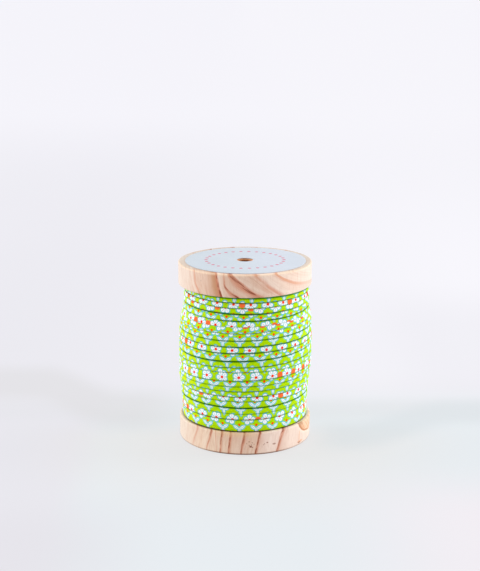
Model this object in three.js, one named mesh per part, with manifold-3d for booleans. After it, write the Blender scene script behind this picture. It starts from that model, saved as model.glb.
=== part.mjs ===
// A wooden spool wound with printed cotton piping, with a round paper label on
// its top flange. Millimetres, +Z up, origin at the centre of the base.
// The front faces -Y; angles run from the front towards +X.

import * as THREE from 'three';
import { mergeVertices } from 'three/addons/utils/BufferGeometryUtils.js';
import Module from 'manifold-3d';

// ---- driving dimensions -------------------------------------------------
const SPOOL_HEIGHT = 68.0;
const FLANGE_RADIUS = 25.0;
const FLANGE_THICKNESS = 8.5;
const FLANGE_OUTER_ROUND = 0.5;    // rounding of the two outside edges
const FLANGE_INNER_ROUND = 0.6;    // rounding of the two edges next to the winding
const BARREL_RADIUS = 12.0;
const BORE_RADIUS = 3.05;          // spindle hole, right through
const SPOOL_SEGMENTS = 72;

const GAP = 0.3;                   // clearance between pieces

const LABEL_RADIUS = 22.6;
const LABEL_THICKNESS = 0.3;
const LABEL_OFFSET_X = 0.25;       // the label is stuck on slightly off centre,
const LABEL_OFFSET_Y = -0.4;       // towards the front
const LABEL_HOLE_RADIUS = 3.5;     // pierced on the spool's axis
const LABEL_SEGMENTS = 72;

const WINDING_BOTTOM = FLANGE_THICKNESS + GAP;
const WINDING_TOP = SPOOL_HEIGHT - FLANGE_THICKNESS - GAP;
const WINDING_INNER_RADIUS = BARREL_RADIUS + GAP;
const GROOVE_DEPTH = 0.55;         // how far the line between two turns sinks in
const COLUMNS_PER_TURN = 60;
const ROWS_PER_TURN = 3;

// Outline of the winding: height, radius of the crests, and how far the
// winding sits to the right of the spool's axis at that height.
const OUTLINE = [
  { z: 8.5, radius: 23.75, shift: 0.01 },
  { z: 15.0, radius: 23.95, shift: -0.16 },
  { z: 20.0, radius: 24.34, shift: -0.21 },
  { z: 25.0, radius: 24.79, shift: -0.19 },
  { z: 30.0, radius: 25.08, shift: 0.10 },
  { z: 35.0, radius: 25.10, shift: 0.19 },
  { z: 40.0, radius: 25.12, shift: 0.23 },
  { z: 45.0, radius: 24.95, shift: 0.30 },
  { z: 48.0, radius: 24.44, shift: 0.43 },
  { z: 52.0, radius: 23.64, shift: 0.49 },
  { z: 57.0, radius: 23.46, shift: 0.64 },
  { z: 59.5, radius: 23.38, shift: 0.69 },
];

// The line between one turn and the next, from the bottom turn up: its height
// at five angles across the front. The line is one right-handed helix, so
// each row carries on round the back into the row above it.
const TURN_LINES = [
  { left60: 13.02, left30: 13.24, front: 13.18, right30: 13.45, right60: 14.16 },
  { left60: 15.40, left30: 15.64, front: 15.34, right30: 15.78, right60: 16.30 },
  { left60: 17.82, left30: 17.95, front: 17.74, right30: 18.01, right60: 18.52 },
  { left60: 20.09, left30: 20.25, front: 20.35, right30: 20.43, right60: 20.49 },
  { left60: 22.10, left30: 22.20, front: 22.25, right30: 22.35, right60: 22.65 },
  { left60: 23.61, left30: 24.14, front: 24.33, right30: 24.69, right60: 24.98 },
  { left60: 25.69, left30: 26.03, front: 26.28, right30: 26.55, right60: 26.88 },
  { left60: 27.39, left30: 28.02, front: 28.50, right30: 28.84, right60: 29.29 },
  { left60: 30.69, left30: 31.37, front: 31.69, right30: 31.95, right60: 32.15 },
  { left60: 32.69, left30: 33.22, front: 33.64, right30: 33.87, right60: 34.14 },
  { left60: 35.19, left30: 35.50, front: 36.09, right30: 36.61, right60: 37.24 },
  { left60: 38.48, left30: 38.49, front: 39.04, right30: 39.23, right60: 39.72 },
  { left60: 41.06, left30: 41.01, front: 41.29, right30: 41.54, right60: 41.81 },
  { left60: 43.45, left30: 43.14, front: 43.59, right30: 44.01, right60: 44.49 },
  { left60: 45.91, left30: 45.94, front: 46.17, right30: 46.85, right60: 47.45 },
  { left60: 48.29, left30: 48.34, front: 48.59, right30: 49.14, right60: 49.54 },
  { left60: 50.79, left30: 50.59, front: 50.65, right30: 50.97, right60: 51.44 },
  { left60: 53.40, left30: 53.20, front: 53.09, right30: 53.24, right60: 53.60 },
  { left60: 55.63, left30: 55.29, front: 55.24, right30: 55.33, right60: 55.48 },
  { left60: 57.51, left30: 57.21, front: 57.21, right30: 57.24, right60: 57.36 },
];

// ---- materials ----------------------------------------------------------
const pine = new THREE.MeshStandardMaterial({ color: 0xe6c8a6, roughness: 0.62, metalness: 0 });
const cotton = new THREE.MeshStandardMaterial({ color: 0xbad41e, roughness: 0.85, metalness: 0 });
const paper = new THREE.MeshStandardMaterial({ color: 0xd7e4f0, roughness: 0.7, metalness: 0 });

// ---- helpers ------------------------------------------------------------
const wasm = await Module();
wasm.setup();

function toSolid(geometry) {
  const g = geometry.clone();
  g.deleteAttribute('normal');
  g.deleteAttribute('uv');
  const merged = mergeVertices(g, 1e-4);
  return new wasm.Manifold(new wasm.Mesh({
    numProp: 3,
    vertProperties: new Float32Array(merged.attributes.position.array),
    triVerts: new Uint32Array(merged.index.array),
  }));
}

function toGeometry(solid) {
  const mesh = solid.getMesh();
  const g = new THREE.BufferGeometry();
  g.setAttribute('position', new THREE.BufferAttribute(new Float32Array(mesh.vertProperties), 3));
  g.setIndex(new THREE.BufferAttribute(new Uint32Array(mesh.triVerts), 1));
  g.computeVertexNormals();
  return g;
}

// A ring or other turned shape: the profile is a closed loop of [radius, z].
function turned(profile, segments) {
  const points = profile.map(([r, z]) => new THREE.Vector2(r, z));
  points.push(points[0].clone());
  const g = new THREE.LatheGeometry(points, segments);
  g.rotateX(Math.PI / 2);
  return g;
}

// Quarter round between two straight runs of a profile, from angle a to b.
function quarter(cr, cz, radius, a, b, steps = 3) {
  const out = [];
  for (let i = 0; i <= steps; i++) {
    const t = a + ((b - a) * i) / steps;
    out.push([cr + radius * Math.cos(t), cz + radius * Math.sin(t)]);
  }
  return out;
}

function lookUp(table, z, key) {
  if (z <= table[0].z) return table[0][key];
  for (let i = 1; i < table.length; i++) {
    if (z <= table[i].z) {
      const t = (z - table[i - 1].z) / (table[i].z - table[i - 1].z);
      return table[i - 1][key] + t * (table[i][key] - table[i - 1][key]);
    }
  }
  return table[table.length - 1][key];
}

// ---- spool: one turned piece --------------------------------------------
function spoolGeometry() {
  const R = FLANGE_RADIUS, H = SPOOL_HEIGHT, T = FLANGE_THICKNESS;
  const o = FLANGE_OUTER_ROUND, n = FLANGE_INNER_ROUND, q = Math.PI / 2;
  return turned([
    [BORE_RADIUS, 0],
    ...quarter(R - o, o, o, -q, 0),
    ...quarter(R - n, T - n, n, 0, q, 2),
    [BARREL_RADIUS, T],
    [BARREL_RADIUS, H - T],
    ...quarter(R - n, H - T + n, n, -q, 0, 2),
    ...quarter(R - o, H - o, o, 0, q),
    [BORE_RADIUS, H],
  ], SPOOL_SEGMENTS);
}

// ---- wound piping -------------------------------------------------------
// Height of the line between turns, as one function of the whole winding
// angle in degrees: 360 for each turn, with 0 at the front of row 0.
const knots = [];
TURN_LINES.forEach((line, row) => {
  [[-60, 'left60'], [-30, 'left30'], [0, 'front'], [30, 'right30'], [60, 'right60']]
    .forEach(([angle, key]) => knots.push({ z: row * 360 + angle, height: line[key] }));
});
const first = knots[0], last = knots[knots.length - 1];
knots.unshift({ z: first.z - 240, height: WINDING_BOTTOM - 0.1 });
knots.unshift({ z: first.z - 1200, height: WINDING_BOTTOM - 8.1 });
knots.push({ z: last.z + 240, height: WINDING_TOP + 0.1 });
knots.push({ z: last.z + 1200, height: WINDING_TOP + 8.1 });
const turnLine = (degrees) => lookUp(knots, degrees, 'height');

function windingPoint(degrees, fraction) {
  const low = turnLine(degrees);
  const high = turnLine(degrees + 360);
  const z = low + (high - low) * fraction;
  const radius = lookUp(OUTLINE, z, 'radius') - (fraction === 0 ? GROOVE_DEPTH : 0);
  const angle = THREE.MathUtils.degToRad(degrees);
  return [
    lookUp(OUTLINE, z, 'shift') + radius * Math.sin(angle),
    -radius * Math.cos(angle),
    z,
  ];
}

function windingGeometry() {
  const step = 360 / COLUMNS_PER_TURN;
  const start = -720;                                  // well below the bottom flange's face
  const columns = (TURN_LINES.length + 3) * COLUMNS_PER_TURN;
  const positions = [];
  const index = [];
  for (let i = 0; i <= columns + COLUMNS_PER_TURN; i++) {
    for (let row = 0; row < ROWS_PER_TURN; row++) {
      positions.push(...windingPoint(start + i * step, row / ROWS_PER_TURN));
    }
  }
  // The top row of one column is the bottom row of the column one turn on.
  const at = (i, row) => (row === ROWS_PER_TURN
    ? (i + COLUMNS_PER_TURN) * ROWS_PER_TURN
    : i * ROWS_PER_TURN + row);
  for (let i = 0; i < columns; i++) {
    for (let row = 0; row < ROWS_PER_TURN; row++) {
      const a = at(i, row), b = at(i + 1, row), c = at(i + 1, row + 1), d = at(i, row + 1);
      index.push(a, b, c, a, c, d);
    }
  }
  // Fans from the axis close the two ends.
  const lowLoop = [];
  for (let i = 0; i <= COLUMNS_PER_TURN; i++) lowLoop.push(at(i, 0));
  for (let row = ROWS_PER_TURN - 1; row > 0; row--) lowLoop.push(at(0, row));
  const highLoop = [];
  for (let i = columns - COLUMNS_PER_TURN; i <= columns; i++) highLoop.push(at(i, ROWS_PER_TURN));
  for (let row = ROWS_PER_TURN - 1; row > 0; row--) highLoop.push(at(columns, row));
  const lowPoint = positions.length / 3;
  positions.push(0, 0, WINDING_BOTTOM - 12);
  const highPoint = positions.length / 3;
  positions.push(0, 0, WINDING_TOP + 12);
  lowLoop.forEach((v, i) => index.push(lowPoint, lowLoop[(i + 1) % lowLoop.length], v));
  highLoop.forEach((v, i) => index.push(highPoint, v, highLoop[(i + 1) % highLoop.length]));

  // Only the points in use are kept, so that the solid has no loose ones.
  const used = new Map();
  const kept = [];
  const packed = index.map((v) => {
    if (!used.has(v)) {
      used.set(v, kept.length / 3);
      kept.push(positions[3 * v], positions[3 * v + 1], positions[3 * v + 2]);
    }
    return used.get(v);
  });
  const g = new THREE.BufferGeometry();
  g.setAttribute('position', new THREE.Float32BufferAttribute(kept, 3));
  g.setIndex(packed);

  // Cut flat at both flanges and hollow for the barrel.
  const sleeve = turned([
    [WINDING_INNER_RADIUS, WINDING_BOTTOM],
    [FLANGE_RADIUS + 5, WINDING_BOTTOM],
    [FLANGE_RADIUS + 5, WINDING_TOP],
    [WINDING_INNER_RADIUS, WINDING_TOP],
  ], SPOOL_SEGMENTS);
  return toGeometry(toSolid(g).intersect(toSolid(sleeve)));
}

// ---- label --------------------------------------------------------------
function labelGeometry() {
  const disc = new THREE.Shape();
  disc.absarc(LABEL_OFFSET_X, LABEL_OFFSET_Y, LABEL_RADIUS, 0, 2 * Math.PI, false);
  const hole = new THREE.Path();
  hole.absarc(0, 0, LABEL_HOLE_RADIUS, 0, 2 * Math.PI, true);
  disc.holes.push(hole);
  return new THREE.ExtrudeGeometry(disc, {
    depth: LABEL_THICKNESS, bevelEnabled: false, curveSegments: LABEL_SEGMENTS,
  });
}

// ---- assembly -----------------------------------------------------------
const spool = new THREE.Mesh(spoolGeometry(), pine);
spool.name = 'spool';

const winding = new THREE.Mesh(windingGeometry(), cotton);
winding.name = 'wound_piping';

const label = new THREE.Mesh(labelGeometry(), paper);
label.name = 'label_disc';
label.position.set(0, 0, SPOOL_HEIGHT + GAP);

const part = new THREE.Group();
part.add(spool, winding, label);

export default part;
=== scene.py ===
import math

import bpy
import numpy as np
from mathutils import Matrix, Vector


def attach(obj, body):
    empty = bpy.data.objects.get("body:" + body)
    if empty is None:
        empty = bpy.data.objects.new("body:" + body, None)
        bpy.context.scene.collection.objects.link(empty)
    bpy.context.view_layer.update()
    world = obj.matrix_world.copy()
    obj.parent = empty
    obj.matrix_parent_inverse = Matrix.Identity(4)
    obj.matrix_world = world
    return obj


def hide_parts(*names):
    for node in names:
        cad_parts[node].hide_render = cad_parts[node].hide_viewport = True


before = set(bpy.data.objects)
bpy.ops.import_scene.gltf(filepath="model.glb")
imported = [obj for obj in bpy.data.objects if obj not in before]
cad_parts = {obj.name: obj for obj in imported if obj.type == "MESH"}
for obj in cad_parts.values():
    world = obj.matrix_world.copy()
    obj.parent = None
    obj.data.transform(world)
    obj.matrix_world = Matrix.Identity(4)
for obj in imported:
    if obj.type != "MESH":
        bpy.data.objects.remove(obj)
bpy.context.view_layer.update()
MM = 0.001

# ---------------------------------------------------------------- sizes, mm
HEIGHT = 68.0
FLANGE_R = 25.0
FLANGE_T = 8.5
BARREL_R = 12.0
BORE_R = 3.03
LABEL_R = 22.6
LABEL_X, LABEL_Y = 0.25, -0.4
LABEL_T = 0.16

# Outline of the winding: height, crest radius, shift to the right.
OUTLINE = np.array([
    # z, radius, shift
    (8.5, 23.75, 0.01),
    (15.0, 23.95, -0.16),
    (20.0, 24.34, -0.21),
    (25.0, 24.79, -0.19),
    (30.0, 25.08, 0.10),
    (35.0, 25.10, 0.19),
    (40.0, 25.12, 0.23),
    (45.0, 24.95, 0.30),
    (48.0, 24.44, 0.43),
    (52.0, 23.64, 0.49),
    (57.0, 23.46, 0.64),
    (59.5, 23.38, 0.69),
])

# Lines between the turns, bottom up: height at five angles across the front,
# then how deep the groove looks on the left, in front and on the right (1 is a
# plain dark groove, 0 none at all, where two turns lie flush).
TURN_LINES = [
    # -60,   -30,     0,   +30,   +60, left, front, right
    (13.02, 13.24, 13.18, 13.45, 14.16, 0.45, 0.50, 0.20),
    (15.40, 15.64, 15.34, 15.78, 16.30, 0.10, 0.16, 0.18),
    (17.82, 17.95, 17.74, 18.01, 18.52, 0.85, 1.00, 0.75),
    (20.09, 20.25, 20.35, 20.43, 20.49, 0.25, 0.26, 0.25),
    (22.10, 22.20, 22.25, 22.35, 22.65, 0.40, 0.50, 0.30),
    (23.61, 24.14, 24.33, 24.69, 24.98, 0.28, 0.42, 0.25),
    (25.69, 26.03, 26.28, 26.55, 26.88, 0.30, 0.36, 0.30),
    (27.39, 28.02, 28.50, 28.84, 29.29, 0.22, 0.42, 0.38),
    (30.69, 31.37, 31.69, 31.95, 32.15, 0.20, 0.24, 0.20),
    (32.69, 33.22, 33.64, 33.87, 34.14, 0.30, 0.48, 0.40),
    (35.19, 35.50, 36.09, 36.61, 37.24, 0.75, 1.00, 0.50),
    (38.48, 38.49, 39.04, 39.23, 39.72, 0.42, 0.90, 0.42),
    (41.06, 41.01, 41.29, 41.54, 41.81, 0.40, 0.78, 0.60),
    (43.45, 43.14, 43.59, 44.01, 44.49, 0.48, 0.58, 0.50),
    (45.91, 45.94, 46.17, 46.85, 47.45, 0.14, 0.30, 0.12),
    (48.29, 48.34, 48.59, 49.14, 49.54, 0.00, 0.00, 0.00),
    (50.79, 50.59, 50.65, 50.97, 51.44, 0.22, 0.92, 0.55),
    (53.40, 53.20, 53.09, 53.24, 53.60, 0.75, 1.00, 0.32),
    (55.63, 55.29, 55.24, 55.33, 55.48, 0.25, 0.46, 0.26),
    (57.51, 57.21, 57.21, 57.24, 57.36, 0.55, 0.58, 0.35),
]


# ---------------------------------------------------------------- helpers
def outline(z, column):
    return np.interp(z, OUTLINE[:, 0], OUTLINE[:, column])


def smooth_step(x):
    x = np.clip(x, 0, 1)
    return x * x * (3 - 2 * x)


def waves(x, seed, count=6, low=0.3, high=3.0):
    """A smooth wandering value of about unit size, the same in each run."""
    rng = np.random.default_rng(seed)
    out = np.zeros_like(np.asarray(x, float))
    for f, p, a in zip(rng.uniform(low, high, count), rng.uniform(0, 2 * math.pi, count), rng.uniform(0.5, 1, count)):
        out = out + a * np.sin(np.asarray(x) * f + p)
    return out / (0.75 * math.sqrt(count))


def make_mesh(name, points, faces, smooth=True):
    me = bpy.data.meshes.new(name)
    pts = np.asarray(points, float).reshape(-1, 3) * MM
    me.from_pydata(pts.tolist(), [], [tuple(map(int, f)) for f in faces])
    me.validate()
    me.update()
    if smooth:
        me.shade_smooth()
    ob = bpy.data.objects.new(name, me)
    bpy.context.scene.collection.objects.link(ob)
    return ob


def point_value(ob, name, values):
    at = ob.data.attributes.new(name, "FLOAT", "POINT")
    at.data.foreach_set("value", np.asarray(values, np.float32).ravel())


def loop_uv(ob, name, uv):
    layer = ob.data.uv_layers.new(name=name)
    layer.uv.foreach_set("vector", np.asarray(uv, np.float32).ravel())


def turned_points(profile, segments):
    """A closed profile of [radius, z] turned about the axis. Angle 0 is the front, -Y."""
    a = np.linspace(0, 2 * math.pi, segments, endpoint=False)
    r, z = np.asarray(profile, float).T
    return np.stack([
        np.outer(r, np.sin(a)),
        np.outer(r, -np.cos(a)),
        np.repeat(z[:, None], segments, 1),
    ], -1)


def turned_faces(rows, cols):
    i, j = np.meshgrid(np.arange(rows), np.arange(cols), indexing="ij")
    i2, j2 = (i + 1) % rows, (j + 1) % cols
    return np.stack([i * cols + j, i * cols + j2, i2 * cols + j2, i2 * cols + j], -1).reshape(-1, 4)


def arc(cr, cz, radius, a, b, steps):
    t = np.radians(np.linspace(a, b, steps + 1))
    return [(cr + radius * math.cos(x), cz + radius * math.sin(x)) for x in t]


def run(p, q, steps):
    """Points on a straight line from p to q, without p."""
    return [(p[0] + (q[0] - p[0]) * k / steps, p[1] + (q[1] - p[1]) * k / steps) for k in range(1, steps + 1)]


# ---------------------------------------------------------------- shader helpers
class Val:
    """A number in a node tree that can be added, multiplied and so on."""

    def __init__(self, graph, socket):
        self.g, self.s = graph, socket

    def __add__(self, o): return self.g.math("ADD", self, o)
    def __radd__(self, o): return self.g.math("ADD", o, self)
    def __sub__(self, o): return self.g.math("SUBTRACT", self, o)
    def __rsub__(self, o): return self.g.math("SUBTRACT", o, self)
    def __mul__(self, o): return self.g.math("MULTIPLY", self, o)
    def __rmul__(self, o): return self.g.math("MULTIPLY", o, self)
    def __truediv__(self, o): return self.g.math("DIVIDE", self, o)
    def __neg__(self): return self.g.math("MULTIPLY", self, -1)
    def abs(self): return self.g.math("ABSOLUTE", self)
    def floor(self): return self.g.math("FLOOR", self)
    def fract(self): return self.g.math("FRACT", self)
    def sin(self): return self.g.math("SINE", self)
    def cos(self): return self.g.math("COSINE", self)
    def sqrt(self): return self.g.math("SQRT", self)
    def power(self, n): return self.g.math("POWER", self, n)
    def low(self, o): return self.g.math("MINIMUM", self, o)
    def high(self, o): return self.g.math("MAXIMUM", self, o)
    def clamp(self): return self.g.math("MAXIMUM", self.g.math("MINIMUM", self, 1.0), 0.0)

    def ramp(self, a, b, lo=0.0, hi=1.0):
        """Smoothly from lo at a to hi at b."""
        n = self.g.node("ShaderNodeMapRange", interpolation_type="SMOOTHSTEP")
        self.g.put(n.inputs["Value"], self)
        for key, value in (("From Min", a), ("From Max", b), ("To Min", lo), ("To Max", hi)):
            n.inputs[key].default_value = value
        return Val(self.g, n.outputs["Result"])

    def inside(self, edge, soft=0.05):
        """1 where the value is under edge."""
        return self.ramp(edge - soft, edge + soft, 1.0, 0.0)


class Graph:
    def __init__(self, name, tree=None):
        if tree is None:
            self.mat = bpy.data.materials.new(name)
            self.mat.use_nodes = True
            tree = self.mat.node_tree
        self.nt = tree
        self.nt.nodes.clear()
        if tree.type == "SHADER" and hasattr(self, "mat"):
            self.out = self.node("ShaderNodeOutputMaterial")

    def node(self, kind, **props):
        n = self.nt.nodes.new(kind)
        for key, value in props.items():
            setattr(n, key, value)
        return n

    def put(self, socket, value):
        if isinstance(value, Val):
            self.nt.links.new(value.s, socket)
        elif isinstance(value, bpy.types.NodeSocket):
            self.nt.links.new(value, socket)
        else:
            socket.default_value = value

    def math(self, op, *args):
        n = self.node("ShaderNodeMath", operation=op)
        for i, a in enumerate(args):
            self.put(n.inputs[i], a)
        return Val(self, n.outputs[0])

    def attribute(self, name):
        return Val(self, self.node("ShaderNodeAttribute", attribute_name=name).outputs["Fac"])

    def position(self):
        """Object coordinates in mm, as three values."""
        c = self.node("ShaderNodeTexCoord")
        s = self.node("ShaderNodeSeparateXYZ")
        self.nt.links.new(c.outputs["Object"], s.inputs[0])
        return [Val(self, s.outputs[i]) * 1000.0 for i in range(3)]

    def vector(self, x, y, z=0.0):
        n = self.node("ShaderNodeCombineXYZ")
        for i, v in enumerate((x, y, z)):
            self.put(n.inputs[i], v)
        return n.outputs[0]

    def noise(self, vector, scale=1.0, detail=2.0, rough=0.5):
        n = self.node("ShaderNodeTexNoise", noise_dimensions="3D")
        self.put(n.inputs["Vector"], vector)
        n.inputs["Scale"].default_value = scale
        n.inputs["Detail"].default_value = detail
        n.inputs["Roughness"].default_value = rough
        return Val(self, n.outputs["Fac"])

    def random(self, vector):
        n = self.node("ShaderNodeTexWhiteNoise", noise_dimensions="3D")
        self.put(n.inputs["Vector"], vector)
        return Val(self, n.outputs["Value"])

    def mix(self, fac, a, b, kind="MIX"):
        n = self.node("ShaderNodeMix", data_type="RGBA", blend_type=kind)
        self.put(n.inputs[0], fac)
        for socket, value in ((n.inputs[6], a), (n.inputs[7], b)):
            self.put(socket, colour(value) if isinstance(value, tuple) and len(value) == 3 else value)
        return n.outputs[2]

    def steps(self, value, stops):
        n = self.node("ShaderNodeValToRGB")
        self.put(n.inputs[0], value)
        ramp = n.color_ramp
        while len(ramp.elements) < len(stops):
            ramp.elements.new(0.5)
        for e, (at, c) in zip(ramp.elements, stops):
            e.position = at
            e.color = (c, c, c, 1) if isinstance(c, (int, float)) else colour(c)
        return n

    def shader(self, base, rough, normal=None, **fixed):
        n = self.node("ShaderNodeBsdfPrincipled")
        self.put(n.inputs["Base Color"], colour(base) if isinstance(base, tuple) else base)
        self.put(n.inputs["Roughness"], rough)
        for key, value in fixed.items():
            n.inputs[key.replace("_", " ")].default_value = value
        if normal is not None:
            self.nt.links.new(normal, n.inputs["Normal"])
        self.nt.links.new(n.outputs[0], self.out.inputs["Surface"])
        return n

    def bump(self, height, distance, strength=1.0, normal=None):
        n = self.node("ShaderNodeBump")
        self.put(n.inputs["Height"], height)
        n.inputs["Distance"].default_value = distance
        n.inputs["Strength"].default_value = strength
        if normal is not None:
            self.nt.links.new(normal, n.inputs["Normal"])
        return n.outputs[0]


def colour(rgb):
    """An sRGB colour of 0 to 255 as Blender's linear one."""
    if len(rgb) == 4:
        return rgb
    c = [x / 255 for x in rgb]
    return tuple(x / 12.92 if x <= 0.04045 else ((x + 0.055) / 1.055) ** 2.4 for x in c) + (1.0,)


# ---------------------------------------------------------------- camera
PITCH = 0.23819
camera = bpy.data.cameras.new("camera")
camera.sensor_width = 36.0
camera.lens = 1218.70 / 571 * 36.0
camera.clip_start, camera.clip_end = 0.01, 200
cam = bpy.data.objects.new("camera", camera)
cam.location = (-1.867 * MM, -446.10 * MM, 166.52 * MM)
cam.rotation_euler = (math.pi / 2 - PITCH, 0, 0)
bpy.context.scene.collection.objects.link(cam)
bpy.context.scene.camera = cam


# ---------------------------------------------------------------- spool
def spool_profile():
    o, n = 0.5, 0.55
    R, H, T = FLANGE_R, HEIGHT, FLANGE_T
    p = [(BORE_R + 0.3, 0.0)]
    p += run(p[-1], (R - o, 0.0), 7)
    p += arc(R - o, o, o, -90, 0, 6)[1:]
    p += run(p[-1], (R, T - n), 20)
    p += arc(R - n, T - n, n, 0, 90, 4)[1:]
    p += run(p[-1], (BARREL_R, T), 3)
    p += run(p[-1], (BARREL_R, H - T), 2)
    p += run(p[-1], (R - n, H - T), 3)
    p += arc(R - n, H - T + n, n, -90, 0, 4)[1:]
    p += run(p[-1], (R, H - o), 20)
    p += arc(R - o, H - o, o, 0, 90, 6)[1:]
    p += run(p[-1], (21.5, H), 6)
    p += run(p[-1], (BORE_R + 0.3, H), 5)
    p += run(p[-1], (BORE_R, H - 0.3), 2)
    p += run(p[-1], (BORE_R, H - 2.1), 3)
    p += run(p[-1], (BORE_R, 0.3), 4)
    return p


# Growth rings: each row is one ring's line on the front of a flange, as the x
# where it crosses a few heights, then its strength and half width at the top
# and the bottom, how orange it is, and how much darker the wood is that
# follows it on the right.
RINGS_LOW_Z = (8.5, 6.0, 3.0, 0.0)
RINGS_LOW = [
    # x at each height in turn,         strength,   half width, orange, shade
    (-24.3, -24.4, -24.6, -24.8, 0.12, 0.10, 0.22, 0.22, 0.5, 0.00),
    (-21.6, -21.9, -22.2, -22.6, 0.14, 0.10, 0.22, 0.25, 0.4, 0.00),
    (-17.65, -18.3, -19.15, -19.7, 0.66, 0.16, 0.32, 0.26, 0.2, 0.00),
    (-12.4, -13.0, -13.9, -14.5, 0.96, 0.30, 0.38, 0.20, 0.0, 0.06),
    (-10.9, -10.9, -10.8, -10.7, 0.36, 0.34, 0.12, 0.12, 0.1, 0.10),
    (-8.50, -8.80, -9.10, -9.35, 1.06, 0.76, 0.36, 0.28, 0.0, 0.22),
    (-5.35, -5.65, -5.95, -6.20, 1.12, 0.94, 0.44, 0.32, 0.0, 0.30),
    (-0.05, -0.65, -1.25, -1.75, 1.22, 0.86, 0.52, 0.30, 0.0, 0.26),
    (5.55, 4.95, 4.30, 3.65, 1.14, 0.96, 0.48, 0.38, 0.0, -0.36),
    (14.15, 13.25, 12.40, 11.55, 0.92, 0.88, 0.56, 0.40, 0.0, 0.00),
    (19.75, 19.75, 20.0, 20.4, 0.06, 0.28, 0.20, 0.22, 1.0, 0.00),
    (22.6, 22.4, 22.8, 23.2, 0.12, 0.12, 0.20, 0.20, 1.0, 0.00),
    (26.5, 26.5, 26.5, 26.5, 0.20, 0.20, 0.20, 0.20, 0.5, 0.00),
]
RINGS_HIGH_Z = (68.0, 65.7, 63.5, 61.6, 59.5)
RINGS_HIGH = [
    (-24.6, -24.5, -24.4, -24.2, -23.9, 0.08, 0.10, 0.20, 0.20, 0.5, 0.00),
    (-23.4, -23.2, -23.0, -22.7, -22.3, 0.10, 0.12, 0.20, 0.20, 0.4, 0.00),
    (-21.8, -21.6, -21.4, -21.2, -20.8, 0.14, 0.18, 0.20, 0.22, 0.4, 0.00),
    (-20.5, -20.0, -19.5, -19.1, -18.5, 0.14, 0.28, 0.20, 0.24, 0.5, 0.00),
    (-18.45, -18.25, -18.05, -17.3, -16.1, 0.36, 0.88, 0.26, 0.32, 0.5, 0.30),
    (-14.4, -14.1, -13.9, -13.6, -13.0, 0.06, 0.04, 0.20, 0.20, 0.5, 0.68),
    (-12.3, -12.0, -11.8, -11.3, -10.6, 0.05, 0.05, 0.20, 0.20, 0.5, 1.20),
    (-10.25, -10.0, -9.70, -9.10, -8.25, 0.74, 1.10, 0.34, 0.56, 0.0, -0.10),
    (-8.75, -8.60, -8.45, -8.00, -7.30, 0.00, 0.00, 0.20, 0.20, 0.0, 0.48),
    (-7.55, -7.55, -7.40, -5.75, -2.10, 0.36, 1.30, 0.14, 0.50, 0.0, 0.58),
    (-5.55, -2.95, -0.35, 2.15, 6.20, 0.92, 0.90, 0.70, 0.94, 0.0, 0.14),
    (3.80, 6.15, 8.60, 10.85, 13.80, 0.34, 0.42, 0.80, 0.80, 0.1, -0.38),
    (10.7, 13.7, 18.0, 24.2, 28.6, 0.46, 0.96, 0.42, 0.60, 0.9, -0.24),
    (16.8, 20.6, 25.6, 29.0, 33.0, 0.14, 0.14, 0.24, 0.24, 1.0, -0.12),
    (24.0, 26.5, 29.5, 33.0, 37.0, 0.12, 0.12, 0.24, 0.24, 1.0, 0.00),
]
REACH = 3.0     # mm of wood to one whole ring number, close to a line


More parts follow.
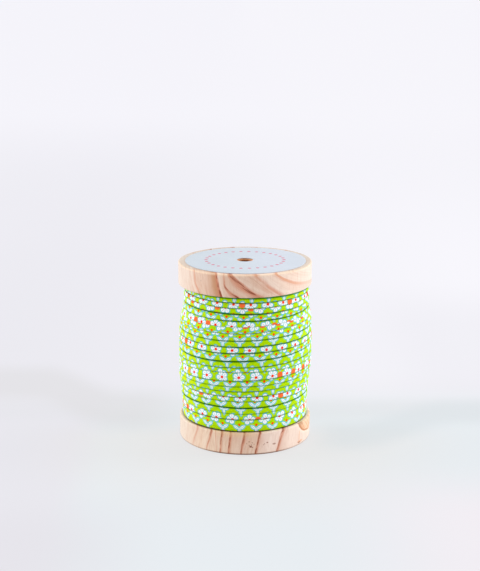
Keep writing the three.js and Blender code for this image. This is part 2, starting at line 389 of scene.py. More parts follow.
def ring_field(points, rows, heights, lean):
    """For each point: its ring number (whole on a line, and 1/REACH a mm next to it), and the nearest line's
    strength, half width and orange, and the shade of the wood. The rings are sheets that run right through the
    wood, as measured on the front and turned a little behind it."""
    x, y, z = points.T
    rows = np.array(rows)
    zs = np.array(heights)[::-1]
    count = len(zs)
    half = np.sqrt(np.clip(FLANGE_R ** 2 - x ** 2, 0, None))
    back = np.clip((y + half) / (2 * np.maximum(half, 1e-3)), 0, 1)
    middle = zs.mean()
    wobble = 0.035 * np.sin(z * 0.8 + x * 0.30) + 0.025 * np.sin(z * 1.5 - x * 0.7 + 1.0)
    xx = x + 0.07 * (y + half) + wobble

    def sheet(at_z, row, k):
        front_x = np.interp(at_z, zs, row[:count][::-1])
        back_x = row[:count].mean() + lean * (at_z - middle) + 0.5 * math.sin(k * 1.7)
        return front_x * (1 - back) + back_x * back

    sheets, slopes = [], []
    for k, row in enumerate(rows):
        wide = [sheet(np.clip(z + dz, zs[0], zs[-1]), row, k) for dz in (-0.7, -0.35, 0, 0.35, 0.7)]
        sheets.append(sum(wide) / 5)
        slopes.append((wide[4] - wide[0]) / 1.4)
    sheets = np.maximum.accumulate(np.array(sheets) + 1e-4 * np.arange(len(rows))[:, None], axis=0)
    flat = 1 / np.sqrt(1 + np.array(slopes) ** 2)

    last = len(rows) - 1
    k = np.clip((xx[None, :] >= sheets).sum(0) - 1, 0, last - 1)
    pick = np.arange(len(x))
    left, right = sheets[k, pick], sheets[k + 1, pick]
    da, db = (xx - left) * flat[k, pick], (right - xx) * flat[k + 1, pick]
    room = (right - left)
    ma, mb = np.minimum(0.9, 0.35 * room * flat[k, pick]), np.minimum(0.9, 0.35 * room * flat[k + 1, pick])
    between = (da - ma) / np.maximum((da - ma) + (db - mb), 1e-6)
    ring = np.where(da < ma, k + da / REACH, np.where(db < mb, k + 1 - db / REACH,
                    k + ma / REACH + between * (1 - (ma + mb) / REACH)))

    high = np.clip((z - zs[0]) / (zs[-1] - zs[0]), 0, 1)
    near = np.clip(ring, 0, last)
    k0 = np.clip(np.floor(near).astype(int), 0, last - 1)
    t = smooth_step((near - k0 - 0.36) / 0.28)
    top, low = rows[:, count:], rows[:, count + 1:]

    def value(column):
        return column[k0] * (1 - t) + column[k0 + 1] * t

    strength = value(rows[:, count]) * high + value(rows[:, count + 1]) * (1 - high)
    width = value(rows[:, count + 2]) * high + value(rows[:, count + 3]) * (1 - high)
    warm = value(rows[:, count + 4])
    # the shade changes over half a mm at a line, and over 2 mm where no line shows
    shade = np.zeros(len(x))
    for j in range(len(rows)):
        before = rows[j - 1, count + 5] if j else 0.0
        over = 2.2 if rows[j, count:count + 2].max() < 0.07 else 0.5
        shade += (rows[j, count + 5] - before) * smooth_step((xx - sheets[j]) * flat[j] / over + 0.5)
    return ring, strength, width, warm, shade * (1 - 0.6 * back)


def build_spool():
    profile = np.array(spool_profile())
    segments = 800
    pts = turned_points(profile, segments)
    rows = len(profile)
    flat = pts.reshape(-1, 3)
    r = np.hypot(flat[:, 0], flat[:, 1])
    angle = np.arctan2(flat[:, 0], -flat[:, 1])

    # turned by hand: the rims are a few hundredths off true
    wob = 0.035 * waves(angle, 11, 5, 1, 4) * (r > 20)
    blend = np.clip((np.abs(angle) - 2.6) / (math.pi - 2.6), 0, 1)
    wob = wob * (1 - smooth_step(blend))
    scale = 1 + wob / np.maximum(r, 1)
    moved = flat.copy()
    moved[:, 0] *= scale
    moved[:, 1] *= scale

    low = ring_field(flat, RINGS_LOW, RINGS_LOW_Z, 0.10)
    high = ring_field(flat, RINGS_HIGH, RINGS_HIGH_Z, -0.12)
    is_high = flat[:, 2] > HEIGHT / 2

    ob = make_mesh("spool_turned", moved, turned_faces(rows, segments))
    point_value(ob, "ring", np.where(is_high, high[0] + 20, low[0]))
    for name, a, b in zip(("strength", "width", "warm", "shade"), low[1:], high[1:]):
        point_value(ob, name, np.where(is_high, b, a))
    point_value(ob, "upper", is_high.astype(float))
    return ob


def pine_material():
    g = Graph("pine")
    x, y, z = g.position()
    ring, upper = g.attribute("ring"), g.attribute("upper")
    strength, width, warm, shade = (g.attribute(name) for name in ("strength", "width", "warm", "shade"))
    angle = g.math("ARCTAN2", x, -y)
    arc_mm = angle * 25.0
    radius = (x * x + y * y).sqrt()
    side = radius.ramp(24.0, 24.6)

    # distance from the nearest line: its crisp side is positive
    way = upper * 2.0 - 1.0
    nearest = ((ring + 0.5).fract() - 0.5) * way
    off = nearest * REACH
    ragged = g.noise(g.vector(x * 2.4, y * 2.4, z * 0.9), 1.0, 3.0, 0.6) - 0.5
    off = off + ragged * 0.16
    across = off / width
    core = Val(g, g.steps(across * 0.125 + 0.5, [
        (0.0, 0.0), (0.16, 0.04), (0.30, 0.20), (0.40, 0.62), (0.455, 0.95), (0.535, 1.0), (0.60, 0.42), (0.66, 0.0), (1.0, 0.0),
    ]).outputs[0])
    breaks = g.noise(g.vector(ring * 3.0, z * 0.42, y * 0.03), 1.0, 3.0).ramp(0.32, 0.58, 0.56, 1.10)
    strands = g.noise(g.vector(ring * 16.0, z * 0.22, 5.0 + y * 0.05), 1.0, 2.0, 0.6)
    line = core * strength * breaks * strands.ramp(0.34, 0.62, 0.62, 1.12)
    # the wood darkens towards the line on its soft side
    late = (((ring.fract() - 0.5) * way) + 0.5).ramp(0.45, 1.0) * strength.ramp(0.0, 0.8)

    # finer lines that follow the rings, and fibres that run along the axis
    fine = g.noise(g.vector(ring * 5.0, z * 0.09, y * 0.05), 1.0, 4.0, 0.66)
    finer = g.noise(g.vector(ring * 12.0, z * 0.14, y * 0.08), 1.0, 3.0, 0.66)
    streaks = g.noise(g.vector(ring * 9.0, z * 0.30, 11.0 + y * 0.05), 1.0, 2.0, 0.6)
    fibres = g.noise(g.vector(x * 2.2, y * 2.2, z * 0.22), 1.0, 4.0, 0.72)
    grains = g.noise(g.vector(x * 9.0, y * 9.0, z * 1.6), 1.0, 2.0, 0.6)
    cloud = g.noise(g.vector(x * 0.11, y * 0.11, z * 0.09), 1.0, 2.0)

    pale, wood, deep = (238, 216, 197), (231, 202, 180), (206, 160, 132)
    body = g.mix(cloud.ramp(0.3, 0.7), pale, wood)
    body = g.mix((fine.ramp(0.38, 0.72) * 0.42).clamp(), body, deep)
    body = g.mix((finer.ramp(0.52, 0.72) * 0.50).clamp(), body, (196, 144, 114))
    body = g.mix((finer.ramp(0.48, 0.26) * 0.38).clamp(), body, (250, 232, 214))
    body = g.mix((shade.high(0.0) * 0.80).clamp(), body, g.mix(shade.ramp(0.5, 0.9), g.mix(upper, (212, 164, 134), (210, 162, 132)), (198, 142, 102)))
    body = g.mix(((-shade).high(0.0) * 1.1).clamp(), body, (246, 228, 213))
    # the lower flange is yellower at the left and rosier at the right
    body = g.mix((x.ramp(3.5, 8.0) * (1.0 - upper) * 0.42).clamp(), body, (240, 217, 207))
    body = g.mix((x.ramp(-1.0, -9.0) * (1.0 - upper) * 0.20).clamp(), body, (234, 202, 160))
    body = g.mix((late * 0.34).clamp(), body, (206, 152, 126))
    body = g.mix((streaks.ramp(0.60, 0.80) * strength.ramp(0.1, 0.7) * late.ramp(0.0, 0.6) * 0.55).clamp(), body, (176, 124, 100))
    line_colour = g.mix(warm, g.mix(line.ramp(0.35, 1.0), (184, 102, 62), (146, 68, 34)), (226, 156, 104))
    base = g.mix(line.clamp(), body, line_colour)
    rosy = line.ramp(0.04, 0.40) * line.ramp(0.9, 0.5)
    base = g.mix((rosy * 0.34).clamp(), base, (222, 138, 106))
    # painted highlight: paler towards both sides, where the side lamps fall
    base = g.mix((x.abs().ramp(15.5, 24.5) * 0.60).clamp(), base, (226, 213, 199))
    # yellower along the top of the lower flange, in front
    tan = z.ramp(6.2, 8.2) * (x + 3.0).abs().ramp(10.0, 3.0) * (1.0 - upper) * side * y.ramp(0.0, -8.0)
    base = g.mix((tan * 0.50).clamp(), base, (230, 192, 142))

    # knot at the right of the lower flange, its top cut off by the flange's edge
    ka, kz = arc_mm - 31.4, z - 8.2
    ca, sa = math.cos(math.radians(6)), math.sin(math.radians(6))
    kx, ky = (ka * ca - kz * sa) / 8.4, (ka * sa + kz * ca) / 4.6
    kd = (kx * kx + ky * ky).sqrt() + (g.noise(g.vector(x * 0.4, y * 0.4, z * 0.4), 1.0, 2.0) - 0.5) * 0.16
    here = x.ramp(4.0, 10.0) * side * (1.0 - upper) * y.ramp(6.0, 2.0)
    inner = g.noise(g.vector((arc_mm + z * 1.1) * 0.9, (z - arc_mm * 0.45) * 0.10, 2.0), 1.0, 2.0, 0.5)
    knot_colour = g.mix(inner.ramp(0.34, 0.66), (240, 204, 170), (220, 164, 122))
    knot_colour = g.mix((kx + ky * 0.6).ramp(0.0, 0.9) * 0.55, knot_colour, (244, 214, 184))
    base = g.mix((kd.ramp(1.22, 1.04) * here * 0.55).clamp(), base, (248, 226, 206))
    base = g.mix((kd.ramp(1.0, 0.92) * here).clamp(), base, knot_colour)
    rim = (kd - 0.90).abs().ramp(0.10, 0.02) * (kx - ky).ramp(1.9, 0.4)
    base = g.mix((rim * here * 0.90).clamp(), base, (190, 126, 82))
    thread = (arc_mm - 23.9).abs().ramp(0.34, 0.08) * (z - 3.9).abs().ramp(2.2, 1.2) * here
    base = g.mix((thread * 0.60).clamp(), base, (230, 166, 120))
    # painted shadow of the cloth: darker brown along the knot's top, under the winding
    base = g.mix(((arc_mm - 25.2).abs().ramp(2.2, 0.6) * z.ramp(6.8, 8.4) * here * 0.75).clamp(), base, (176, 128, 92))

    def mark(base, at_arc, at_z, half_arc, half_z, strength, rgb=(138, 82, 62)):
        a, b = (arc_mm - at_arc) / half_arc, (z - at_z) / half_z
        d = (a * a + b * b).sqrt() + (grains - 0.5) * 0.7
        return g.mix((d.inside(0.95, 0.35) * strength * side).clamp(), base, rgb)

    # an orange streak and its dark end below the knot, then small specks
    base = mark(base, 24.3, 1.45, 1.9, 0.42, 0.75, (228, 162, 120))
    base = mark(base, 23.7, 1.10, 0.95, 0.30, 0.70, (146, 96, 78))
    SPECKS = [
        # arc, z, half width, half height, strength
        (2.05, 3.30, 0.50, 0.36, 1.00),
        (2.65, 3.02, 0.26, 0.20, 0.95),
        (1.50, 5.20, 0.21, 0.23, 0.80),
        (2.60, 4.80, 0.19, 0.23, 0.80),
        (2.40, 3.95, 0.20, 0.23, 0.80),
        (1.55, 3.80, 0.20, 0.23, 0.70),
        (0.60, 4.50, 0.17, 0.20, 0.62),
        (3.30, 4.20, 0.17, 0.20, 0.62),
        (8.35, 4.45, 0.34, 0.26, 0.85),
        (7.20, 4.05, 0.21, 0.21, 0.75),
        (6.90, 3.70, 0.18, 0.20, 0.65),
        (11.1, 3.60, 0.70, 0.34, 0.70),
        (-2.6, 3.20, 0.14, 0.15, 0.35),
    ]
    for row in SPECKS:
        base = mark(base, *row)
    base = mark(base, -17.3, 64.6, 0.26, 0.20, 0.40, (120, 90, 70))

    # fibres
    base = g.mix((fibres.ramp(0.46, 0.74) * 0.32).clamp(), base, (190, 140, 112))
    base = g.mix((grains.ramp(0.58, 0.80) * 0.16).clamp(), base, (252, 238, 224))
    # painted shade: dark where the cloth meets the lower flange, darker towards the left
    about = ((x + 0.18) * (x + 0.18) + y * y).sqrt()
    crease_shade = about.ramp(24.22, 23.78) * (z - 8.5).abs().ramp(0.30, 0.12) * y.ramp(-6.0, -18.0, 0.5, 1.0)
    base = g.mix((crease_shade * 0.85).clamp(), base, (112, 74, 36))
    # the bore is orange at the lip, with painted shade making it dark brown deeper in, most on its front and back walls
    inside = radius.ramp(3.6, 3.05)
    bore_depth_shade = z.ramp(67.8, 66.9) * z.ramp(0.2, 1.1)
    bore_lip_and_shade = g.mix((bore_depth_shade * x.abs().ramp(2.6, 0.8, 0.05, 1.0)).clamp(), (224, 160, 108), (112, 44, 3))
    base = g.mix(inside, base, bore_lip_and_shade)
    # wear and painted highlight: the upper edge is paler, and orange where a dark ring meets it
    edge = (radius - 24.74).abs().ramp(0.42, 0.05) * z.ramp(67.2, 67.55)
    base = g.mix((edge * 0.60).clamp(), base, g.mix(line.ramp(0.0, 0.25), (250, 222, 190), (228, 168, 124)))
    # painted shade: the rim's flat top is darker than its side, cooler behind than in front
    rim_top_shade = z.ramp(67.70, 67.90) * radius.ramp(20.0, 22.0) * y.ramp(-23.5, -14.0)
    base = g.mix((rim_top_shade * 0.9).clamp(), base, g.mix(y.ramp(-4.0, 18.0), (233, 236, 236), (226, 238, 246)), "MULTIPLY")
    # and painted contact shadow darkens the lower edge where it stands
    foot_shadow = z.ramp(0.84, 0.34) * radius.ramp(24.1, 24.6) * x.abs().ramp(9.0, 19.0, 1.0, 0.40)
    base = g.mix((foot_shadow * 0.90).clamp(), base, (112, 68, 42))

    # turning marks run round the piece, fibres along it
    marks = g.noise(g.vector(angle * 0.9, z * 4.5, radius * 4.5), 1.0, 2.0, 0.6)
    height = line * -0.35 + fibres * 0.5 + marks * 0.35 + finer * 0.25
    normal = g.bump(height, 0.00006, 0.7)
    rough = (fibres * 0.18 + line * -0.12 + 0.52).clamp()
    g.shader(base, rough, normal, Specular_IOR_Level=0.32)
    return g.mat


# ---------------------------------------------------------------- wound piping
def knots():
    """The line between turns as one function of the winding angle in degrees, and how deep it is."""
    at, height, depth = [], [], []
    for row, line in enumerate(TURN_LINES):
        for a, h in zip((-60, -30, 0, 30, 60), line[:5]):
            at.append(row * 360 + a)
            height.append(h)
            depth.append(np.interp(a, (-45, 0, 45), line[5:]))
    first, last = at[0], at[-1]
    at = [first - 1200, first - 240] + at + [last + 240, last + 1200]
    height = [0.6, 8.6] + height + [59.4, 67.4]
    depth = [0.5, 0.5] + depth + [0.5, 0.5]
    return np.array(at, float), np.array(height), np.array(depth)


KNOT_AT, KNOT_Z, KNOT_DEPTH = knots()
Z_LOW, Z_HIGH = FLANGE_T + 0.12, HEIGHT - FLANGE_T - 0.12


def soft_line(degrees, values):
    """The table's line, rounded off between its points."""
    out = 0
    for shift, weight in ((-14, 0.2), (-7, 0.2), (0, 0.2), (7, 0.2), (14, 0.2)):
        out = out + weight * np.interp(degrees + shift, KNOT_AT, values)
    return out


def build_piping():
    """One strip of piping, wound as one helix: a closed section for each step round, with its outer face domed between the grooves."""
    per_turn = 216
    start, stop = -600.0, 7105.0
    count = int((stop - start) / 360 * per_turn)
    deg = np.linspace(start, stop, count)
    low = soft_line(deg, KNOT_Z)
    high = soft_line(deg + 360, KNOT_Z)
    low += 0.05 * waves(np.radians(deg), 3, 7, 0.8, 5)
    high += 0.05 * waves(np.radians(deg + 360), 3, 7, 0.8, 5)
    depth_low = soft_line(deg, KNOT_DEPTH)
    depth_high = soft_line(deg + 360, KNOT_DEPTH)
    low, high = np.maximum(low, Z_LOW), np.minimum(high, Z_HIGH)

    t = np.array([0.012, 0.03, 0.065, 0.12, 0.20, 0.32, 0.46, 0.60, 0.73, 0.83, 0.90, 0.95, 0.975, 0.988])
    inner_t = np.array([0.93, 0.62, 0.34, 0.07])
    sections = len(t) + len(inner_t)
    z = low[:, None] + (high - low)[:, None] * np.concatenate([t, inner_t])[None, :]
    width = (high - low)[:, None]

    # distance into the turn from either edge, in mm
    from_low = (t[None, :] - t[0]) * width
    from_high = (t[-1] - t[None, :]) * width
    dome = 0.18 * (1 - (2 * t - 1) ** 2)[None, :]
    drop_low = np.exp(-from_low / 0.10) * 0.46 * (0.14 + 0.86 * depth_low[:, None])
    drop_high = np.exp(-from_high / 0.10) * 0.46 * (0.14 + 0.86 * depth_high[:, None])
    lay = 0.10 * (0.5 - t)[None, :]                       # the lower edge stands a little proud
    lift = 0.07 * waves(np.radians(deg), 8, 9, 0.5, 6)[:, None]
    ridge = 0.05 * waves(np.radians(deg) * 1.0, 21, 8, 4, 16)[:, None] * np.sin(math.pi * t)[None, :]
    outer = outline(z[:, :len(t)], 1) - 0.12 + dome + lay + lift + ridge - drop_low - drop_high
    inner = outline(z[:, len(t):], 1) - 2.3
    r = np.concatenate([outer, inner], 1)

    # both ends are tucked in under their neighbours
    tuck = 1.6 * (1 - smooth_step((deg - start) / 26)) + 1.6 * (1 - smooth_step((stop - deg) / 26))
    r = r - tuck[:, None]

    a = np.radians(deg)[:, None]
    shift = outline(z, 2)
    x, y = shift + r * np.sin(a), -r * np.cos(a)
    pts = np.stack([x, y, z], -1)

    i, j = np.meshgrid(np.arange(count - 1), np.arange(sections), indexing="ij")
    j2 = (j + 1) % sections
    quads = np.stack([i * sections + j, (i + 1) * sections + j, (i + 1) * sections + j2, i * sections + j2], -1).reshape(-1, 4)
    faces = [tuple(q) for q in quads.tolist()]
    faces.append(tuple(range(sections)))
    faces.append(tuple((count - 1) * sections + k for k in reversed(range(sections))))
    ob = make_mesh("piping_strip", pts, faces)

    # strip coordinates in mm: along it, and across it from where this turn's print begins
    along = np.concatenate([[0], np.cumsum(np.hypot(np.diff(x[:, 6]), np.diff(y[:, 6])))])
    step = np.hypot(np.diff(r, axis=1), np.diff(z, axis=1))

    # laid out flat with one row for each turn, most of it for the outer face
    wide = np.append(step.mean(0), 0.3)
    wide[len(t) - 1:] *= 0.25
    place = np.concatenate([[0], np.cumsum(wide)]) / wide.sum()
    turns = (deg[:-1] - start) / 360
    rows = math.ceil((stop - start) / 360)
    row = np.floor(turns)
    left = 0.01 + 0.975 * (turns - row)
    right = left + 0.975 * (deg[1] - deg[0]) / 360
    under = (row[:, None] + 0.02 + 0.96 * place[None, :-1]) / rows
    over = (row[:, None] + 0.02 + 0.96 * place[None, 1:]) / rows
    us = np.stack([np.repeat(q[:, None], sections, 1) for q in (left, right, right, left)], -1)
    vs = np.stack([under, under, over, over], -1)
    flat = np.stack([us, vs], -1).reshape(-1, 2)
    turn = np.arange(sections) * 2 * math.pi / sections
    ends = [np.stack([at + 0.012 * np.cos(turn), (rows - 0.5 + 0.3 * np.sin(turn)) / rows], -1) for at in (0.6, 0.7)]
    loop_uv(ob, "OFBake", np.concatenate([flat] + ends))

    across = np.concatenate([np.zeros((count, 1)), np.cumsum(step, axis=1)], 1)
    across = across - across[:, [6]]
    drift = deg / 360 * 2.05 + 0.9 * waves(np.radians(deg), 31, 5, 0.05, 0.35)
    v = across + drift[:, None]
    u = np.repeat(along[:, None], sections, 1)
    point_value(ob, "strip_u", u)
    point_value(ob, "strip_v", v)
    # painted shade: dark in the grooves between turns, and under the upper flange
    groove_shade = np.ones((count, sections))
    near = np.minimum(from_low, from_high)
    strong = np.where(from_low < from_high, depth_low[:, None], depth_high[:, None])
    groove_shade[:, :len(t)] = np.exp(-(near / (0.14 + 0.15 * strong)) ** 2) * (0.10 + 0.90 * strong)
    under_flange_shade = 0.75 * smooth_step((z - (HEIGHT - FLANGE_T - 0.95)) / 0.40)
    groove_shade = np.maximum(groove_shade, under_flange_shade)
    point_value(ob, "groove_shade", groove_shade)
    return ob


def build_core():
    """The turns below the outer ones, as one sleeve round the barrel."""
    z = np.linspace(Z_LOW + 0.2, Z_HIGH - 0.2, 40)
    profile = [(BARREL_R + 0.1, z[0])] + [(float(outline(q, 1)) - 1.7, float(q)) for q in z] + [(BARREL_R + 0.1, z[-1])]
    pts = turned_points(profile, 128)
    return make_mesh("piping_core", pts, turned_faces(len(profile), 128))


def cotton_material():
    g = Graph("printed_cotton")
    u, v = g.attribute("strip_u"), g.attribute("strip_v")
    groove_shade = g.attribute("groove_shade")
    P, Q = 6.3, 7.4        # the print's repeat along and across the strip, mm

    lime, lime_dark, lime_light = (188, 228, 0), (158, 211, 0), (214, 241, 4)
    white, pale, cyan = (253, 253, 255), (242, 248, 252), (88, 197, 214)
    red, coral = (255, 62, 20), (255, 116, 58)

    # a hair of unevenness, as printing on cotton has
    wander = g.noise(g.vector(u * 0.9, v * 0.9, 3.0), 1.0, 2.0) - 0.5
    wander2 = g.noise(g.vector(u * 0.9, v * 0.9, 9.0), 1.0, 2.0) - 0.5
    uu, vv = u + wander * 0.30, v + wander2 * 0.30

    def cell(shift_u, shift_v):
        """Place in a brick layout's cell, from its middle, and the cell's own numbers."""
        cu = ((uu - shift_u) / P + 0.5).floor()
        cv = ((vv - shift_v) / Q + 0.5).floor()
        return (uu - shift_u) - cu * P, (vv - shift_v) - cv * Q, cu, cv

    # five-petalled blossoms
    a, b, cu, cv = cell(0.0, 0.0)
    chance = g.random(g.vector(cu, cv, 1.0))
    rho = (a * a + b * b).sqrt()
    alpha = g.math("ARCTAN2", b, a) + chance * 6.283
    lobes = (alpha * 2.5).cos().abs()
    d_flower = rho - (lobes.power(0.55) * 1.00 + 1.42)
    flower = d_flower.inside(0.09)
    flower_white = d_flower.inside(-0.28, 0.07)
    flower_core = d_flower.ramp(-0.30, -0.54)
    seams = (lobes * rho).inside(0.29, 0.10) * rho.ramp(0.5, 0.8)
    ribs = ((alpha * 2.5).sin().abs() * rho).inside(0.22, 0.08) * rho.ramp(0.7, 0.9) * rho.inside(1.80, 0.2)
    centre = rho.inside(0.55)

    # sprigs of three leaves and a berry, half a repeat off both ways
    sa, sb, su, sv = cell(P / 2, Q / 2)
    leaf, leaf_white, leaf_rib = None, None, None
    for cx, cy, tilt, half_len, half_wid, mirrored in ((1.12, 0.42, 36, 1.56, 0.74, True), (0.0, -0.85, 90, 1.56, 0.68, False)):
        px = sa.abs() - cx if mirrored else sa - cx
        py = sb - cy
        ct, st = math.cos(math.radians(tilt)), math.sin(math.radians(tilt))
        along = px * ct + py * st
        across = (py * ct - px * st).abs()
        q = along / half_len
        d = across - (1.0 - q * q) * half_wid
        whole, inner = d.inside(0.08), d.inside(-0.25, 0.07)
        rib = across.inside(0.11, 0.07) * along.abs().inside(half_len * 0.62, 0.2)
        leaf = whole if leaf is None else leaf.high(whole)
        leaf_white = inner if leaf_white is None else leaf_white.high(inner)
        leaf_rib = rib if leaf_rib is None else leaf_rib.high(rib)
    berry = ((sa * sa + (sb - 1.42) * (sb - 1.42)).sqrt()).inside(0.46)

    # now and then a coral bud between two blossoms
    ba, bb, bu, bv = cell(P / 2, 0.0)
    some = g.random(g.vector(bu, bv, 4.0)).ramp(0.335, 0.325)
    bud_d = (ba.abs().power(3.0) + (bb.abs() * 0.92).power(3.0)).power(1 / 3) - 1.10
    bud = bud_d.inside(0.0, 0.06) * some
    bud_line = (ba.abs().inside(0.09, 0.06) + (bud_d.abs() - 0.10).abs().inside(0.0, 0.09)).clamp() * some

    # ground, darker green where it borders the motifs
    ground_noise = g.noise(g.vector(u * 1.9, v * 1.9, 0.0), 1.0, 2.0, 0.6)
    ground = g.mix(ground_noise.ramp(0.38, 0.70), lime, lime_dark)
    ground = g.mix((ground_noise.ramp(0.46, 0.28) * 0.6).clamp(), ground, lime_light)
    # painted light: the ground is yellower at the two sides, more on the left
    x, y, z = g.position()
    side_light_yellow = x.ramp(-12.0, -24.0) * 0.75 + x.ramp(14.0, 24.0) * 0.30
    ground = g.mix(side_light_yellow.clamp(), ground, (222, 239, 12))
    border = d_flower.inside(0.26, 0.14)
    col = g.mix((border * 0.50).clamp(), ground, (128, 200, 22))
    col = g.mix(leaf.clamp(), col, cyan)
    col = g.mix((leaf_white * 0.97).clamp(), col, white)
    col = g.mix((leaf_rib * 0.75).clamp(), col, cyan)
    col = g.mix((berry * 0.98).clamp(), col, red)
    col = g.mix(flower.clamp(), col, cyan)
    col = g.mix((flower_white * 0.95).clamp(), col, pale)
    col = g.mix((flower_core * flower_white).clamp(), col, white)
    col = g.mix((seams.high(ribs * 0.8) * flower).clamp(), col, cyan)
    col = g.mix(centre.clamp(), col, red)
    col = g.mix(bud.clamp(), col, coral)
    col = g.mix((bud_line * 0.35 * bud).clamp(), col, (226, 62, 30))

    # threads
    warp = (u * (2 * math.pi / 0.30)).sin()
    weft = (v * (2 * math.pi / 0.30)).sin()
    weave = warp * weft
    slub = g.noise(g.vector(u * 0.7, v * 7.0, 2.0), 1.0, 2.0)
    slub2 = g.noise(g.vector(u * 7.0, v * 0.7, 5.0), 1.0, 2.0)
    col = g.mix((weave.ramp(-1.0, 1.0) * 0.08).clamp(), col, (110, 140, 70), "MULTIPLY")
    speck = g.noise(g.vector(u * 3.4, v * 3.4, 7.0), 1.0, 1.0, 0.5)
    col = g.mix((speck.ramp(0.56, 0.76) * 0.12).clamp(), col, (120, 160, 40), "MULTIPLY")

    # painted shade: dark green deep in the grooves between turns and under the upper flange
    col = g.mix((groove_shade * 1.10).clamp(), col, (24, 138, 36), "MULTIPLY")
    col = g.mix((groove_shade * 0.58).clamp(), col, (4, 124, 12))
    normal = g.bump(weave * 0.5 + slub * 0.8 + slub2 * 0.8, 0.00003, 0.6)
    g.shader(col, 0.85, normal, Specular_IOR_Level=0.06, Sheen_Weight=0.03, Sheen_Roughness=0.4)
    return g.mat


# ---------------------------------------------------------------- label
def build_label():
    base = HEIGHT + 0.03
    top = base + LABEL_T
    inner, outer = BORE_R + 0.05, LABEL_R
    profile = [(inner, base)] + run((inner, base), (outer, base), 6) + [(outer + 0.02, base + LABEL_T / 2), (outer - 0.01, top - 0.02)]
    profile += [(outer - 0.05, top)] + run((outer - 0.05, top), (inner + 0.04, top), 24) + [(inner, top - 0.03)]
    segments = 256
    pts = turned_points(profile, segments)
    r = np.hypot(pts[..., 0], pts[..., 1])
    a = np.arctan2(pts[..., 0], -pts[..., 1])
    # cut by hand: the rim is a little uneven, and stuck on a little off the hole
    out = np.clip((r - inner) / (outer - inner), 0, 1)
    uneven = 1 + out * (0.0016 * np.sin(3 * a + 0.4) + 0.001 * np.sin(7 * a))
    pts[..., 0] = pts[..., 0] * uneven + LABEL_X * out
    pts[..., 1] = pts[..., 1] * uneven + LABEL_Y * out
    return make_mesh("paper_label", pts, turned_faces(len(profile), segments))


def paper_material():
    g = Graph("label_paper")
    x, y, z = g.position()
    radius = (x * x + y * y).sqrt()
    angle = g.math("ARCTAN2", x, -y)
    fibre = g.noise(g.vector(x * 2.2, y * 2.2, 0.0), 1.0, 4.0, 0.65)
    cloud = g.noise(g.vector(x * 0.12, y * 0.12, 4.0), 1.0, 2.0)
    base = g.mix(cloud.ramp(0.3, 0.7), (197, 204, 214), (193, 201, 211))
    base = g.mix((fibre.ramp(0.45, 0.75) * 0.25).clamp(), base, (205, 212, 221))
    # painted shade: the label darker towards the left
    base = g.mix(x.ramp(10.0, -9.0), base, (248, 251, 249), "MULTIPLY")
    # a plain ring of small dots
    dots = 30
    phase = (angle * (dots / (2 * math.pi))).fract() - 0.5
    along = phase * (2 * math.pi / dots) * radius
    d = (along * along + (radius - 14.6) * (radius - 14.6)).sqrt()
    base = g.mix((d.inside(0.66, 0.10) * 0.9).clamp(), base, (204, 70, 106))
    normal = g.bump(fibre, 0.00002, 0.5)
    g.shader(base, 0.55, normal, Specular_IOR_Level=0.35)
    return g.mat


# ---------------------------------------------------------------- put together
spool = build_spool()
spool.data.materials.append(pine_material())
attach(spool, "root")
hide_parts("spool")

cotton = cotton_material()
piping = build_piping()
piping.data.materials.append(cotton)
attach(piping, "root")
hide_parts("wound_piping")

core = build_core()
# the turns below are painted dark green: painted shade seen in the gaps between the outer turns
under = Graph("cotton_below_shaded")
under_noise = under.noise(under.vector(*under.position()), 1.2, 3.0)
under.shader(under.mix(under_noise.ramp(0.3, 0.7), (70, 110, 14), (104, 140, 24)), 0.9)
core.data.materials.append(under.mat)
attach(core, "root")
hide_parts("wound_piping")

label = build_label()
label.data.materials.append(paper_material())
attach(label, "root")
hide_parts("label_disc")


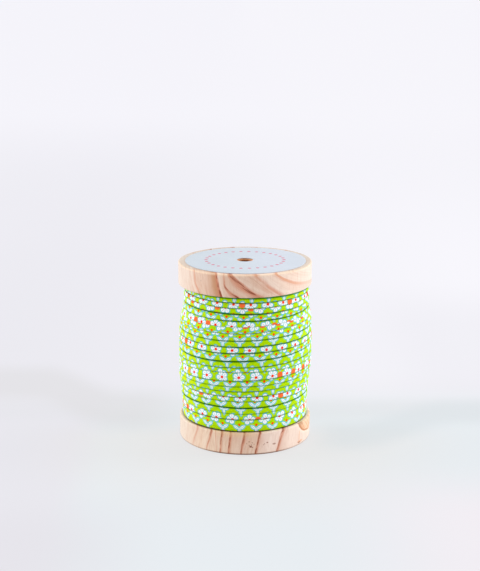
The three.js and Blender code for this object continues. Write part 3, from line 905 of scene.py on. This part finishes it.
# ---------------------------------------------------------------- floor and light
def build_floor():
    n = 96
    rings = [0.02, 0.06, 0.12, 0.25, 0.5, 1.0, 2.0, 4.0, 8.0, 20.0, 60.0, 120.0]
    pts = [(0, 0, 0)]
    for r in rings:
        for k in range(n):
            t = 2 * math.pi * k / n
            pts.append((r * 1000 * math.cos(t), r * 1000 * math.sin(t), 0))
    faces = [(0, 1 + k, 1 + (k + 1) % n) for k in range(n)]
    for i in range(len(rings) - 1):
        a, b = 1 + i * n, 1 + (i + 1) * n
        faces += [(a + k, b + k, b + (k + 1) % n, a + (k + 1) % n) for k in range(n)]
    ob = make_mesh("floor", pts, faces, smooth=False)
    # white paper that glows as well as taking light, cooler in front than behind
    g = Graph("floor_paper")
    x, y, z = g.position()
    behind = y.ramp(20.0, 62.0)
    front = g.mix(x.ramp(-48.0, -68.0), (232, 237, 241), (233, 232, 238))
    tone = g.mix(behind, front, (233, 232, 238))
    tone = g.mix(y.ramp(90.0, 500.0), tone, (237, 236, 242))
    tone = g.mix(y.ramp(300.0, 1300.0), tone, (249, 248, 254))
    lit = x.ramp(-140.0, 140.0) * y.ramp(0.0, 80.0) * (1.0 - x.ramp(45.0, 95.0) * y.ramp(260.0, 150.0) * 0.50)
    tone = g.mix((lit * 0.62).clamp(), tone, (251, 250, 255))
    # painted shadow: a soft grey band behind the spool
    shadow_band = (y - 26.0).abs().ramp(2.0, 20.0, 1.0, 0.0) * x.ramp(60.0, -60.0, 0.80, 0.45)
    tone = g.mix((shadow_band * 0.5).clamp(), tone, (222, 223, 226))
    # painted contact shadow: a warmer floor near the spool, in front
    near = (x * x + (y + 4.0) * (y + 4.0)).sqrt()
    tone = g.mix((near.ramp(95.0, 30.0) * y.ramp(14.0, -8.0) * 0.55).clamp(), tone, (238, 234, 232))
    # painted light at the front right, painted shade at the front left
    tone = g.mix((x.ramp(15.0, 75.0) * y.ramp(-30.0, -80.0) * 0.60).clamp(), tone, (247, 237, 243))
    tone = g.mix((x.ramp(-20.0, -60.0) * y.ramp(-50.0, -100.0) * 0.60).clamp(), tone, (228, 226, 232))
    # painted shadow: soft grey bands at both sides
    shadow_left = (y - (x.ramp(-50.0, -90.0) * 34.0 + 26.0)).abs().ramp(8.0, 34.0, 1.0, 0.0) * x.ramp(-18.0, -46.0)
    tone = g.mix((shadow_left * 0.75).clamp(), tone, (225, 224, 227))
    shadow_right = (y - (x.ramp(40.0, 85.0) * 27.0 - 5.0)).abs().ramp(4.0, 22.0, 1.0, 0.0) * x.ramp(20.0, 38.0)
    tone = g.mix((shadow_right * 0.62).clamp(), tone, (221, 227, 231))
    # the paper's glow is painted light: it keeps the floor bright and the shadows on it faint
    glow = g.node("ShaderNodeEmission")
    g.put(glow.inputs["Color"], tone)
    glow.inputs["Strength"].default_value = 0.74
    matt = g.node("ShaderNodeBsdfDiffuse")
    g.put(matt.inputs["Color"], g.mix(1.0, tone, (0.215, 0.215, 0.215, 1.0), "MULTIPLY"))
    both = g.node("ShaderNodeAddShader")
    g.nt.links.new(glow.outputs[0], both.inputs[0])
    g.nt.links.new(matt.outputs[0], both.inputs[1])
    g.nt.links.new(both.outputs[0], g.out.inputs["Surface"])
    ob.data.materials.append(g.mat)
    return ob


build_floor()

# A soft white room: brighter at the two sides and overhead than in front.
world = bpy.data.worlds.new("world")
bpy.context.scene.world = world
world.use_nodes = True
sky = Graph("sky", world.node_tree)
sky_out = sky.node("ShaderNodeOutputWorld")
sky_from = sky.node("ShaderNodeTexCoord")
sky_split = sky.node("ShaderNodeSeparateXYZ")
sky.nt.links.new(sky_from.outputs["Generated"], sky_split.inputs[0])
dx, dy, dz = [Val(sky, sky_split.outputs[i]) for i in range(3)]
level = dx.abs().power(4.0) * 0.85 + dz.ramp(0.2, 0.9) * 0.12 + dy.high(0.0) * 0.26 + 0.82
room = sky.node("ShaderNodeBackground")
room.inputs["Color"].default_value = (0.985, 0.985, 1.0, 1)
sky.put(room.inputs["Strength"], level)
sky.nt.links.new(room.outputs[0], sky_out.inputs["Surface"])


def area_light(name, location, target, size, power, rgb=(1, 1, 1)):
    data = bpy.data.lights.new(name, "AREA")
    data.shape = "RECTANGLE"
    data.size, data.size_y = size
    data.energy = power
    data.color = rgb
    ob = bpy.data.objects.new(name, data)
    ob.location = location
    ob.rotation_euler = (Vector(target) - Vector(location)).to_track_quat("-Z", "Y").to_euler()
    bpy.context.scene.collection.objects.link(ob)
    return ob


area_light("left", (-0.66, 0.14, 0.22), (0, 0, 0.03), (0.35, 0.40), 1.8)
area_light("right", (0.66, 0.14, 0.22), (0, 0, 0.03), (0.35, 0.40), 2.5)

scene = bpy.context.scene
scene.view_settings.view_transform = "Standard"
scene.view_settings.look = "None"
scene.view_settings.exposure = 0.0
scene.view_settings.gamma = 1.0
